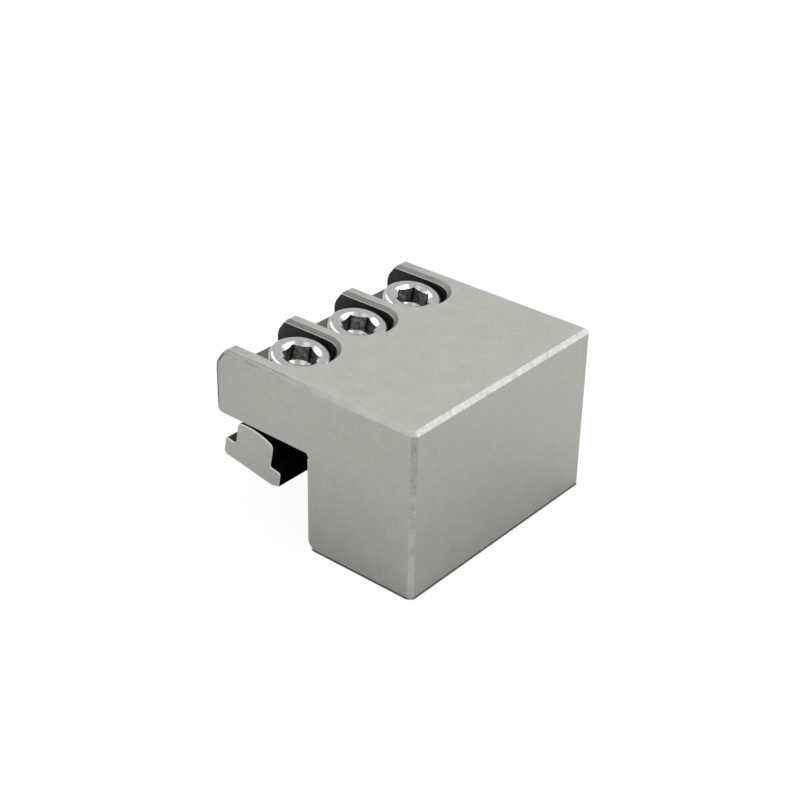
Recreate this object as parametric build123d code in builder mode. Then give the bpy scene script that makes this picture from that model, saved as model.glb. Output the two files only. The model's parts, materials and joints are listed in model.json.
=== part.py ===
"""Hardened vise jaw that clamps on a slotted rail.

The jaw is an L-shaped block: a thick leg whose outer face grips the work, and an
overhang that rests on the rail. Three cap screws sit in slots that open at the back
of the overhang. They pull a hat-section clamp bar up under the rail's lips. Their
axes lean back at the foot, so tightening them also draws the leg against the rail.

Frame: millimetres, +Z up, X from the overhang's back edge to the clamping face, Y
along the rail. The origin is the middle of the block's outline, level with its foot.
"""
import os
from math import cos, radians, sin, sqrt, tan

from build123d import *

# Socket head cap screws, M6 x 12, and how far each one's socket stands turned
thread_diameter = 6.0
screw_length = 12.0
head_diameter = 10.0
head_height = 5.7
head_edge_round = 0.9
head_rim_break = 0.2
neck_round = 0.25
tip_chamfer = 0.7
socket_across_flats = 5.0
socket_depth = 3.0
socket_point_angle = 120.0
socket_mouth_diameter = 6.65
socket_mouth_angle = 120.0
socket_turns = (39.5, 39.5, 7.0)
screw_count = len(socket_turns)

# How the screws stand in the jaw
screw_lean = 10.0
screw_from_back = 10.45
head_recess = 0.95
head_clearance = 0.5
shank_clearance = 0.3
thread_clearance = 0.05

# Jaw block
jaw_width = 40.0
jaw_height = 29.0
overhang_thickness = 11.6
leg_thickness = 21.0
prong_thickness = 2.6
end_prong_thickness = 2.9
edge_chamfer = 0.7
end_break = 0.2
foot_break = 0.25
slot_chamfer = 0.6
hole_chamfer = 0.3
heel_slope_run = 2.0
heel_slope_rise = 2.7
heel_slope_low_round = 3.0
heel_slope_high_round = 0.9
heel_under_round = 1.0
leg_toe_round = 1.8
corner_relief_depth = 0.4
corner_relief_height = 1.4

# Clamp bar, measured square to the screws' axes
bar_gap = 0.35
dome_radius = 11.5
dome_edge_round = 0.9
bar_neck_width = 7.6
bar_neck_side = 4.0
bar_neck_root_round = 0.3
flange_width = 12.0
flange_thickness = 3.2
flange_shoulder_round = 0.5
flange_front_toe_run = 1.5
flange_front_toe_rise = 0.6
flange_back_toe = 0.5
bar_hole_chamfer = 0.4
bar_end_break = 0.15

# How far a cutting body runs past the face that it cuts through
overrun = 1.0

lean = radians(screw_lean)
head_radius = head_diameter / 2
thread_radius = thread_diameter / 2
slot_width = head_diameter + 2 * head_clearance
screw_pitch = slot_width + prong_thickness
jaw_length = (
    screw_count * slot_width + (screw_count - 1) * prong_thickness + 2 * end_prong_thickness
)
half_length = jaw_length / 2
back_x = -jaw_width / 2
front_x = jaw_width / 2
leg_x = front_x - leg_thickness
underside_z = jaw_height - overhang_thickness
axis_x = back_x + screw_from_back
seat_depth = head_recess + head_height

# Every screw stands square on its own seat plane, whose +Z runs up the screw's axis
across = Vector(cos(lean), 0, -sin(lean))
upward = Vector(sin(lean), 0, cos(lean))
seats = []
for index in range(screw_count):
    station_y = (index - (screw_count - 1) / 2) * screw_pitch
    mouth = Vector(axis_x, station_y, jaw_height)
    seats.append(Plane(origin=mouth - upward * seat_depth, x_dir=across, z_dir=upward))

with BuildPart() as jaw_block:
    # The L profile, with the relief that lets the rail's corner seat
    with BuildSketch(Plane.XZ) as profile:
        with BuildLine():
            Polyline(
                (back_x, underside_z),
                (leg_x, underside_z),
                (leg_x + corner_relief_depth, underside_z - corner_relief_height / 2),
                (leg_x, underside_z - corner_relief_height),
                (leg_x, 0),
                (front_x, 0),
                (front_x, jaw_height),
                (back_x, jaw_height),
                close=True,
            )
        make_face()
        fillet(profile.vertices().group_by(Axis.X)[0].sort_by(Axis.Y)[0], heel_under_round)
        fillet(profile.vertices().group_by(Axis.Y)[0].sort_by(Axis.X)[0], leg_toe_round)
    extrude(amount=half_length, both=True)

    # Broken edges round the top, down the clamping face and round the foot
    top_face = jaw_block.faces().sort_by(Axis.Z)[-1]
    clamping_face = jaw_block.faces().sort_by(Axis.X)[-1]
    top_rim = top_face.edges().filter_by(Axis.X) + top_face.edges().filter_by(Axis.Y).sort_by(Axis.X)[-1:]
    chamfer(top_rim + clamping_face.edges().filter_by(Axis.Z), edge_chamfer)
    foot = jaw_block.faces().sort_by(Axis.Z)[0]
    chamfer(foot.edges().sort_by(Axis.X)[1:], foot_break)

    # Screw slots, open at the back, each with a flat seat and a round hole below it
    slot_reach = screw_from_back / cos(lean) + overrun
    slot_climb = seat_depth + slot_width / 2 * tan(lean) + overrun
    for seat in seats:
        with BuildSketch(seat):
            Circle(slot_width / 2)
            with Locations((-slot_reach / 2, 0)):
                Rectangle(slot_reach, slot_width)
        extrude(amount=slot_climb, mode=Mode.SUBTRACT)
    top_face = jaw_block.faces().sort_by(Axis.Z)[-1]
    slot_sides = top_face.edges().filter_by(Axis.X).sort_by(Axis.Y)[1:-1]
    slot_ends = top_face.edges().filter_by(GeomType.ELLIPSE)
    chamfer(slot_sides + slot_ends, slot_chamfer)
    with Locations(*seats):
        Hole(thread_radius + shank_clearance)
    underside = jaw_block.faces().filter_by(Axis.Z).group_by(Axis.Z)[1]
    chamfer(underside.edges().filter_by(GeomType.ELLIPSE), hole_chamfer)

    # The sloped and rounded corner at the top of the back edge
    with BuildSketch(Plane.XZ):
        with BuildLine():
            slope = FilletPolyline(
                (back_x, jaw_height - 2 * heel_slope_rise),
                (back_x, jaw_height - heel_slope_rise),
                (back_x + heel_slope_run, jaw_height),
                (back_x + 2 * heel_slope_run, jaw_height),
                radius=[heel_slope_low_round, heel_slope_high_round],
            )
            Polyline(
                slope @ 1,
                (back_x + 2 * heel_slope_run, jaw_height + overrun),
                (back_x - overrun, jaw_height + overrun),
                (back_x - overrun, jaw_height - 2 * heel_slope_rise),
                slope @ 0,
            )
        make_face()
    extrude(amount=half_length + overrun, both=True, mode=Mode.SUBTRACT)
    end_faces = jaw_block.faces().filter_by(Axis.Y).group_by(Axis.Y)
    back_outline = (end_faces[0] + end_faces[-1]).edges().group_by(Axis.X)[0]
    chamfer(back_outline, end_break)

# Clamp bar: a hat section along the rail, its domed crown just under the overhang
crown_depth = (overhang_thickness + dome_radius + bar_gap) / cos(lean) - dome_radius
crown = Vector(axis_x, 0, jaw_height) - upward * crown_depth
dome_rise = dome_radius - sqrt(dome_radius**2 - (bar_neck_width / 2) ** 2)
ledge_y = -dome_rise - bar_neck_side
sole_y = ledge_y - flange_thickness
with BuildPart() as clamp_bar:
    with BuildSketch(Plane(origin=crown, x_dir=across, z_dir=(0, -1, 0))) as section:
        with BuildLine():
            ThreePointArc(
                (bar_neck_width / 2, -dome_rise),
                (0, 0),
                (-bar_neck_width / 2, -dome_rise),
            )
            Polyline(
                (-bar_neck_width / 2, -dome_rise),
                (-bar_neck_width / 2, ledge_y),
                (-flange_width / 2, ledge_y),
                (-flange_width / 2, sole_y + flange_back_toe),
                (-flange_width / 2 + flange_back_toe, sole_y),
                (flange_width / 2 - flange_front_toe_run, sole_y),
                (flange_width / 2, sole_y + flange_front_toe_rise),
                (flange_width / 2, ledge_y),
                (bar_neck_width / 2, ledge_y),
                (bar_neck_width / 2, -dome_rise),
            )
        make_face()
        ledge = section.vertices().group_by(Axis.Y)[-2].sort_by(Axis.X)
        fillet([ledge[0], ledge[-1]], flange_shoulder_round)
        neck_roots = section.vertices().group_by(Axis.Y)[-2].sort_by(Axis.X)[1:-1]
        fillet(neck_roots, bar_neck_root_round)
        fillet(section.vertices().group_by(Axis.Y)[-1], dome_edge_round)
    extrude(amount=half_length, both=True)
    with Locations(*[seat.offset(seat_depth - crown_depth) for seat in seats]):
        CounterSinkHole(
            radius=thread_radius + thread_clearance,
            counter_sink_radius=thread_radius + thread_clearance + bar_hole_chamfer,
            counter_sink_angle=90,
        )
    sole = clamp_bar.faces().sort_by(Axis((0, 0, 0), upward))[0]
    chamfer(sole.edges().filter_by(GeomType.CIRCLE), bar_hole_chamfer)
    bar_ends = clamp_bar.faces().filter_by(Axis.Y)
    chamfer(bar_ends.edges(), bar_end_break)


def make_cap_screw(seat: Plane, turn: float) -> Part:
    """One cap screw on its seat, with its socket turned from the jaw's cross direction."""
    axis = Axis(seat.origin, seat.z_dir)
    with BuildPart(seat) as screw:
        Cylinder(head_radius, head_height, align=(Align.CENTER, Align.CENTER, Align.MIN))
        fillet(screw.edges().sort_by(axis)[-1], head_edge_round)
        chamfer(screw.edges().sort_by(axis)[0], head_rim_break)
        Cylinder(thread_radius, screw_length, align=(Align.CENTER, Align.CENTER, Align.MAX))
        chamfer(screw.edges().sort_by(axis)[0], tip_chamfer)
        head_sole = screw.faces().filter_by(GeomType.PLANE).sort_by(axis)[1]
        fillet(head_sole.edges().sort_by(SortBy.LENGTH)[0], neck_round)
        mouth_radius = socket_mouth_diameter / 2
        with Locations((0, 0, head_height)):
            Cone(
                0,
                mouth_radius,
                mouth_radius / tan(radians(socket_mouth_angle / 2)),
                align=(Align.CENTER, Align.CENTER, Align.MAX),
                mode=Mode.SUBTRACT,
            )
        with BuildSketch(seat.offset(head_height - socket_depth)):
            RegularPolygon(socket_across_flats / 2, 6, major_radius=False, rotation=turn)
        extrude(amount=socket_depth, mode=Mode.SUBTRACT)
        point_radius = socket_across_flats / 2
        with Locations((0, 0, head_height - socket_depth)):
            Cone(
                0,
                point_radius,
                point_radius / tan(radians(socket_point_angle / 2)),
                align=(Align.CENTER, Align.CENTER, Align.MAX),
                mode=Mode.SUBTRACT,
            )
    return screw.part


os.makedirs("parts", exist_ok=True)
jaw_block.part.label = "jaw_block"
export_step(jaw_block.part, "parts/jaw_block.step")
clamp_bar.part.label = "clamp_bar"
export_step(clamp_bar.part, "parts/clamp_bar.step")
for number, (seat, turn) in enumerate(zip(seats, socket_turns), start=1):
    cap_screw = make_cap_screw(seat, turn)
    cap_screw.label = f"cap_screw_{number}"
    export_step(cap_screw, f"parts/cap_screw_{number}.step")
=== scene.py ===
"""A hardened vise jaw with its cap screws and its clamp bar, modelled and dressed for the studio.

Each piece is modelled upright in millimetres, as it would be made at the bench. Then it is set
in its place and brought to metres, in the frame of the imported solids: +Z up, X from the
overhang's back edge to the clamping face, Y along the rail.
"""
import json
import logging
from collections.abc import Callable
from dataclasses import dataclass, field
from enum import Enum
from math import atan2, cos, pi, radians, sin, sqrt, tan

import bmesh
import bpy
from mathutils import Matrix, Vector


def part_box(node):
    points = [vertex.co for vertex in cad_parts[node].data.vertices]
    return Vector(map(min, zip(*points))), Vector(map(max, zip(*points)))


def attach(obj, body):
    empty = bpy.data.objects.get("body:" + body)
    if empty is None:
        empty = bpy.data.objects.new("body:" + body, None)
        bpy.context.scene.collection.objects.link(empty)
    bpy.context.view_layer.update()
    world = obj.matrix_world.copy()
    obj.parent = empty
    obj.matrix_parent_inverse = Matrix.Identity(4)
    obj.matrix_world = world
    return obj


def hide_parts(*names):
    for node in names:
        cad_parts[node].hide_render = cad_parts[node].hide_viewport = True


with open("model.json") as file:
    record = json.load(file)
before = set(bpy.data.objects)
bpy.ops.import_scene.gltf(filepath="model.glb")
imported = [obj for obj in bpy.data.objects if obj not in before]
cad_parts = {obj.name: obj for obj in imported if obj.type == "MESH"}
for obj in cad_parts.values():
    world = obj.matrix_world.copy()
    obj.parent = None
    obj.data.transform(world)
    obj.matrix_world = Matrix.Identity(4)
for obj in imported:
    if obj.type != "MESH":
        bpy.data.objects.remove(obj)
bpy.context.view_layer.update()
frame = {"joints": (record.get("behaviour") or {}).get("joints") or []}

report = logging.getLogger("vise_jaw")

Place = tuple[float, float, float]
Colour = tuple[float, float, float]
Range = tuple[float, float]
Test = Callable[[object], bool]
Socket = bpy.types.NodeSocket

METRES_PER_MM = 0.001
# Places closer than this, in millimetres, count as the same
SLACK = 0.02
# Vertices closer than this, in millimetres, are merged
DOUBLED = 0.0005
# How much of a face's normal points along an axis: square to the face, nearly so, or slanting
SQUARE = 1 - SLACK**2
NEARLY_SQUARE = 0.99
SLANTED: Range = (0.5, 0.9)
# Steps round a full circle, on rounds that the camera sees and on those that it doesn't
FINE_ROUND = 96
PLAIN_ROUND = 60
# Edges that turn by less than the first are dissolved, and by less than the second, smoothed
FLAT_TURN = radians(0.2)
SMOOTH_TURN = radians(26)

# The attribute that keeps where a screw's points were on the bench
BENCH_PLACE = "bench_place"
# How far each screw's hex socket stands turned from the jaw's cross direction, in degrees
SOCKET_TURNS = (39.5, 39.5, 7.0)
# A new hexagon's first corner is this far past the cross direction, in degrees
HEXAGON_START = 30.0

BLACK: Colour = (0.0, 0.0, 0.0)
WHITE: Colour = (1.0, 1.0, 1.0)
GROUND_STEEL: Colour = (0.436, 0.446, 0.405)
# All shares, and the ranges that most and nearly all of a noise pattern's values lie in
UNIT: Range = (0.0, 1.0)
MIDDLING: Range = (0.35, 0.65)
NEARLY_ALL: Range = (0.3, 0.7)


class Grip(Enum):
    """What a pick on the bench takes hold of."""

    VERTEX = "VERT"
    EDGE = "EDGE"
    FACE = "FACE"


class Carving(Enum):
    """How one body acts on another."""

    CUT = "DIFFERENCE"
    JOIN = "UNION"
    TRIM = "INTERSECT"


class Axis(Enum):
    """A direction of the frame."""

    X = "X"
    Y = "Y"
    Z = "Z"


@dataclass(frozen=True)
class Break:
    """How an edge is broken: how wide on each side, and in how many steps for a round."""

    width: float
    steps: int = 1

    def at_turn(self, turn: float) -> "Break":
        """The same round, between faces that turn by another angle than a right one."""
        return Break(self.width * tan(turn / 2), self.steps)


def single_out(piece: bpy.types.Object) -> None:
    """Select one piece and nothing else, and make it the active one.

    Args:
        piece: the object that the next operators act on.
    """
    bpy.ops.object.select_all(action="DESELECT")
    piece.select_set(True)
    bpy.context.view_layer.objects.active = piece


def settle(piece: bpy.types.Object) -> None:
    """Put a piece's place, turn and size in its mesh."""
    single_out(piece)
    bpy.ops.object.transform_apply(location=True, rotation=True, scale=True)


def modify(piece: bpy.types.Object, kind: str, **settings: object) -> None:
    """Add a modifier to a piece, and apply it.

    Args:
        piece: the piece.
        kind: the modifier's type.
        settings: its properties.
    """
    single_out(piece)
    bpy.ops.object.modifier_add(type=kind)
    modifier = piece.modifiers[-1]
    for setting, value in settings.items():
        setattr(modifier, setting, value)
    bpy.ops.object.modifier_apply(modifier=modifier.name)


def add_blank(name: str, add: Callable[..., object], **settings: object) -> bpy.types.Object:
    """Add a primitive, with its size and place in its mesh.

    Args:
        name: what the piece is called.
        add: the operator that adds it.
        settings: the operator's settings.

    Returns:
        The piece, alone in the selection.
    """
    bpy.ops.object.select_all(action="DESELECT")
    add(**settings)
    blank = bpy.context.active_object
    blank.name = blank.data.name = name
    settle(blank)
    return blank


def turn_cylinder(
    name: str, radius: float, bottom: float, top: float, steps: int = FINE_ROUND
) -> bpy.types.Object:
    """Make an upright cylinder about the origin's Z axis.

    Args:
        name: what the piece is called.
        radius: its radius.
        bottom: the height of its lower end.
        top: the height of its upper end.
        steps: how many flats stand for the round.

    Returns:
        The cylinder.
    """
    return add_blank(
        name, bpy.ops.mesh.primitive_cylinder_add, vertices=steps, radius=radius,
        depth=top - bottom, location=(0, 0, (bottom + top) / 2),
    )


def carve(target: bpy.types.Object, tool: bpy.types.Object, carving: Carving = Carving.CUT) -> None:
    """Cut a piece with a tool body, join the two, or keep what both hold, and drop the tool."""
    modify(target, "BOOLEAN", operation=carving.value, solver="EXACT", object=tool)
    bpy.data.objects.remove(tool, do_unlink=True)


def finish_off(piece: bpy.types.Object) -> None:
    """Shade a piece smooth across its rounds, with its flats kept flat, and bring it to metres.

    Args:
        piece: the finished shape, in its place.
    """
    single_out(piece)
    bpy.ops.object.shade_smooth_by_angle(angle=SMOOTH_TURN)
    modify(piece, "WEIGHTED_NORMAL", keep_sharp=True)
    piece.scale = (METRES_PER_MM,) * 3
    settle(piece)


def near(value: float, target: float) -> bool:
    """Whether two lengths are the same within the slack."""
    return abs(value - target) < SLACK


def slants(part: float) -> bool:
    """Whether a part of a face's normal is that of a chamfer."""
    return SLANTED[0] < part < SLANTED[1]


def stands_out(edge: bmesh.types.BMEdge, turn: float) -> bool:
    """Whether an edge is convex, and turns by more than an angle."""
    return edge.is_manifold and edge.calc_face_angle_signed(0.0) > turn


def at(x: float | None = None, side: float | None = None, z: float | None = None) -> Test:
    """Make a test for places with the given coordinates.

    Args:
        x: their X.
        side: how far they are from the middle plane, to either side.
        z: their height.

    Returns:
        The test, which passes over a coordinate that isn't given.
    """
    return lambda p: all(
        goal is None or near(value, goal)
        for value, goal in ((p.x, x), (abs(p.y), side), (p.z, z))
    )


def joins(place_test: Test, lengthwise: bool | None = None) -> Test:
    """Make a test for edges whose ends both pass a test of their place.

    Args:
        place_test: the test of a place.
        lengthwise: whether the edge has to lead along the rail or mustn't, if that matters.

    Returns:
        The test of an edge.
    """

    def passes(edge: bmesh.types.BMEdge) -> bool:
        """Whether an edge lies and runs as it has to."""
        ends = [vertex.co for vertex in edge.verts]
        return lengthwise in (None, not near(ends[0].y, ends[1].y)) and all(map(place_test, ends))

    return passes


class Bench:
    """One piece held in edit mode, where its parts are picked by their place or normal."""

    def __init__(self, piece: bpy.types.Object) -> None:
        """Note the piece to work on."""
        self.piece = piece

    def __enter__(self) -> "Bench":
        """Open the piece for editing.

        Returns:
            This bench.
        """
        single_out(self.piece)
        bpy.ops.object.mode_set(mode="EDIT")
        return self

    def __exit__(self, *problem: object) -> None:
        """Close the piece again."""
        bpy.ops.object.mode_set(mode="OBJECT")

    def pick(self, grip: Grip, *tests: Test) -> None:
        """Pick every vertex, edge or face that one of the tests accepts, and nothing else.

        Args:
            grip: whether vertices, edges or faces are picked.
            tests: the tests.
        """
        bpy.ops.mesh.select_all(action="DESELECT")
        bpy.ops.mesh.select_mode(type=grip.value)
        shape = bmesh.from_edit_mesh(self.piece.data)
        shape.normal_update()
        rows = {Grip.VERTEX: shape.verts, Grip.EDGE: shape.edges, Grip.FACE: shape.faces}
        picked = [element for element in rows[grip] if any(test(element) for test in tests)]
        if not picked:
            raise ValueError(f"{self.piece.name}: a pick of {grip.name} found nothing")
        for element in picked:
            element.select_set(True)
        shape.select_flush_mode()
        bmesh.update_edit_mesh(self.piece.data)

    def saw(self, place: Place, normal: Place, drop: bool = True) -> None:
        """Cut the whole piece along a plane.

        Args:
            place: a point of the plane.
            normal: the plane's normal, of any length.
            drop: whether what the normal points at goes and the cut is closed, or the plane
                only leaves edges where it crosses the piece.
        """
        bpy.ops.mesh.select_all(action="SELECT")
        unit = Vector(normal).normalized()
        bpy.ops.mesh.bisect(plane_co=place, plane_no=unit, use_fill=drop, clear_outer=drop)

    def extrude(self, step: Place) -> None:
        """Draw out what is picked by a step."""
        bpy.ops.mesh.extrude_region_move(TRANSFORM_OT_translate={"value": step})

    def draw_out(self, step: Place, place_test: Test = lambda place: True) -> None:
        """Draw out the faces that look the way of a step.

        Args:
            step: how far they are drawn, and which way.
            place_test: a test of the faces' middles.
        """
        way = Vector(step).normalized()

        def faces_step(face: bmesh.types.BMFace) -> bool:
            """Whether a face looks the step's way from the right place."""
            return face.normal.dot(way) > NEARLY_SQUARE and place_test(face.calc_center_median())

        self.pick(Grip.FACE, faces_step)
        self.extrude(step)

    def spread(self, factor: float) -> None:
        """Widen what is picked about the upright axis."""
        bpy.ops.transform.resize(value=(factor, factor, 1.0), center_override=(0, 0, 0))

    def bevel(self, shape: Break, *tests: Test, finish: int = -1) -> None:
        """Break the edges that a test accepts. The finish is a slot, or -1 for the neighbours'."""
        self.pick(Grip.EDGE, *tests)
        bpy.ops.mesh.bevel(offset=shape.width, segments=shape.steps, material=finish)

    def tidy_flats(self) -> None:
        """Dissolve the edges that cross flat faces."""
        bpy.ops.mesh.select_all(action="SELECT")
        bpy.ops.mesh.dissolve_limited(angle_limit=FLAT_TURN)

    def face_outwards(self) -> None:
        """Merge doubled vertices and turn every face outwards."""
        bpy.ops.mesh.select_all(action="SELECT")
        bpy.ops.mesh.remove_doubles(threshold=DOUBLED)
        bpy.ops.mesh.normals_make_consistent(inside=False)


@dataclass(frozen=True)
class Station:
    """Where one cap screw stands: its seat's middle, and its axis's lean from upright."""

    number: int
    body: str
    seat: Vector
    lean: float

    @classmethod
    def from_joint(cls, number: int, joint: dict) -> "Station":
        """Read a station from the joint that its screw turns in.

        Args:
            number: the screw's number, from the near end.
            joint: the joint's entry in the record.

        Returns:
            The station, in millimetres.
        """
        seat = Vector(joint["pos_m"]) / METRES_PER_MM
        lean = atan2(joint["axis"][0], joint["axis"][2])
        return cls(number, joint["child"], seat, lean)

    @property
    def axis(self) -> Vector:
        """The direction of the screw's axis, up out of the slot."""
        return Vector((sin(self.lean), 0, cos(self.lean)))

    def upright(self, point: Vector) -> Vector:
        """A point of the jaw, in the screw's own upright frame about its seat."""
        return Matrix.Rotation(-self.lean, 3, "Y") @ (point - self.seat)

    def set_in_place(self, piece: bpy.types.Object, turn: float = 0.0) -> None:
        """Turn an upright piece about its axis, lean it and bring it to the seat.

        Args:
            piece: a piece modelled about the origin.
            turn: how far it turns about its axis first.
        """
        leaning = Matrix.Rotation(self.lean, 4, "Y") @ Matrix.Rotation(turn, 4, "Z")
        piece.matrix_world = Matrix.Translation(self.seat) @ leaning
        settle(piece)


class Recipe:
    """The node tree of a material or a room, written step by step. Lengths are in millimetres."""

    def __init__(self, owner: bpy.types.Material | bpy.types.World, shader: str) -> None:
        """Open the tree.

        Args:
            owner: the new material or world.
            shader: the node that the recipe ends in.
        """
        owner.use_nodes = True
        self.owner = owner
        self.tree = owner.node_tree
        self.shader = self.tree.nodes[shader]

    @classmethod
    def of_material(cls, name: str) -> "Recipe":
        """Open a new material."""
        return cls(bpy.data.materials.new(name), "Principled BSDF")

    def feed(self, socket: Socket, value: object) -> None:
        """Give an input a value, or link it to another node's output.

        Args:
            socket: the input.
            value: a number, a tuple of numbers, a colour, or an output.
        """
        if isinstance(value, Socket):
            self.tree.links.new(value, socket)
        else:
            socket.default_value = (*value, 1.0) if socket.type == "RGBA" else value

    def step(
        self, kind: str, feeds: dict[str | int, object] | None = None, **settings: object
    ) -> bpy.types.Node:
        """Add a node.

        Args:
            kind: the node's type, without the prefix that all types share.
            feeds: what its inputs get.
            settings: its properties.

        Returns:
            The node.
        """
        node = self.tree.nodes.new(f"ShaderNode{kind}")
        for setting, value in settings.items():
            setattr(node, setting, value)
        for socket, value in (feeds or {}).items():
            self.feed(node.inputs[socket], value)
        return node

    def finish(self, feeds: dict[str, object]) -> bpy.types.Material:
        """Bring the recipe to its shader.

        Args:
            feeds: what the shader's inputs get.

        Returns:
            The finished material.
        """
        for socket, value in feeds.items():
            self.feed(self.shader.inputs[socket], value)
        return self.owner

    def surface_place(self) -> Socket:
        """Where a point of the surface is, in the piece's own coordinates."""
        feeds = {0: self.step("TexCoord").outputs["Object"], "Scale": 1 / METRES_PER_MM}
        return self.step("VectorMath", feeds, operation="SCALE").outputs["Vector"]

    def bench_place(self) -> Socket:
        """Where a point was on the bench, before its piece was set in its place."""
        return self.step("Attribute", attribute_name=BENCH_PLACE).outputs["Vector"]

    def bench_radius(self) -> Socket:
        """How far a point was from the upright axis on the bench."""
        flat = self.step("VectorMath", {0: self.bench_place(), 1: (1, 1, 0)}, operation="MULTIPLY")
        return self.step("VectorMath", {0: flat.outputs[0]}, operation="LENGTH").outputs["Value"]

    def split(self, place: Socket) -> dict[Axis, Socket]:
        """The X, Y and Z of a place."""
        parts = self.step("SeparateXYZ", {"Vector": place}).outputs
        return {axis: parts[axis.value] for axis in Axis}

    def compose(self, x: Socket, y: object = 0.0) -> Socket:
        """A place with the given X and Y."""
        return self.step("CombineXYZ", {"X": x, "Y": y}).outputs["Vector"]

    def noise(
        self, place: Socket, size: float | Place, detail: float, roughness: float = 0.5
    ) -> Socket:
        """Soft random patches, from 0 to 1 about a half.

        Args:
            place: the place.
            size: the patches' size, or their length along each axis.
            detail: how many finer layers are added.
            roughness: how strong the finer layers are.

        Returns:
            The pattern's value.
        """
        lengths = size if isinstance(size, tuple) else (size,) * 3
        scale = tuple(1 / length for length in lengths)
        scaled = self.step("Mapping", {"Vector": place, "Scale": scale}).outputs["Vector"]
        feeds = {"Vector": scaled, "Scale": 1.0, "Detail": detail, "Roughness": roughness}
        return self.step("TexNoise", feeds).outputs["Fac"]

    def reshape(self, value: Socket, source: Range = UNIT, result: Range = UNIT) -> Socket:
        """Map a value from one range to another, clamped."""
        limits = dict(zip(("From Min", "From Max", "To Min", "To Max"), (*source, *result)))
        return self.step("MapRange", {"Value": value, **limits}).outputs["Result"]

    def sum_up(self, operation: str, *terms: object) -> Socket:
        """Do one sum with numbers or outputs."""
        return self.step("Math", dict(enumerate(terms)), operation=operation).outputs["Value"]

    def blend(self, share: object, first: object, second: object) -> Socket:
        """Mix two colours.

        Args:
            share: how much of the second colour shows.
            first: the first colour, or an output.
            second: the second colour, or an output.

        Returns:
            The mixed colour.
        """
        node = self.step("Mix", {"Factor": share}, data_type="RGBA")
        colours = [socket for socket in node.inputs if socket.type == "RGBA"]
        for socket, value in zip(colours, (first, second)):
            self.feed(socket, value)
        return next(socket for socket in node.outputs if socket.type == "RGBA")

    def mottle(self, share: Socket, colour: Colour, depth: float) -> Socket:
        """Darken and lighten a colour by a pattern. The depth is how far the tone strays from 1."""
        tones = (tuple(channel * tone for channel in colour) for tone in (1 - depth, 1 + depth))
        return self.blend(share, *tones)

    def relief(self, height: Socket, depth: float, below: Socket | None = None) -> Socket:
        """Turn a pattern into fine relief.

        Args:
            height: the pattern, from 0 to 1.
            depth: how deep the relief is.
            below: the relief that this one lies on.

        Returns:
            The bent normal.
        """
        feeds = {"Strength": 1.0, "Distance": depth * METRES_PER_MM, "Height": height}
        if below is not None:
            feeds["Normal"] = below
        return self.step("Bump", feeds).outputs["Normal"]


@dataclass(frozen=True)
class PaintedOutlineShade:
    """A painted shade: a dark line round the back outline of both end faces, standing in for the
    dark edges there.
    """

    back: float = -20.0
    top: float = 29.0
    slope_run: float = 2.0
    slope_rise: float = 2.7
    tone: float = 0.3
    # How far from the outline the line starts to fade, and where it has gone
    width: float = 0.3
    clear: float = 0.6
    # How softly the line turns from the back edge to the slope
    turning: float = 0.5
    # The heights between which it comes up out of nothing
    lowest: float = 18.5
    full_from: float = 20.5

    def tint(self, recipe: Recipe, place: Socket) -> Socket:
        """Work out how the line darkens a point of an end face.

        Args:
            recipe: the recipe that asks.
            place: the point's place.

        Returns:
            The tone, which is 1 clear of the line.
        """
        parts = recipe.split(place)
        slope_length = Vector((self.slope_run, self.slope_rise)).length
        from_back = recipe.sum_up("SUBTRACT", parts[Axis.X], self.back)
        above_foot = recipe.sum_up("SUBTRACT", parts[Axis.Z], self.top - self.slope_rise)
        from_slope = recipe.sum_up(
            "SUBTRACT",
            recipe.sum_up("MULTIPLY", from_back, self.slope_rise / slope_length),
            recipe.sum_up("MULTIPLY", above_foot, self.slope_run / slope_length),
        )
        nearest = recipe.sum_up("SMOOTH_MIN", from_back, from_slope, self.turning)
        clear = recipe.sum_up(
            "MAXIMUM",
            recipe.reshape(nearest, (self.width, self.clear)),
            recipe.reshape(parts[Axis.Z], (self.full_from, self.lowest)),
        )
        return recipe.reshape(clear, UNIT, (self.tone, 1.0))


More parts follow.
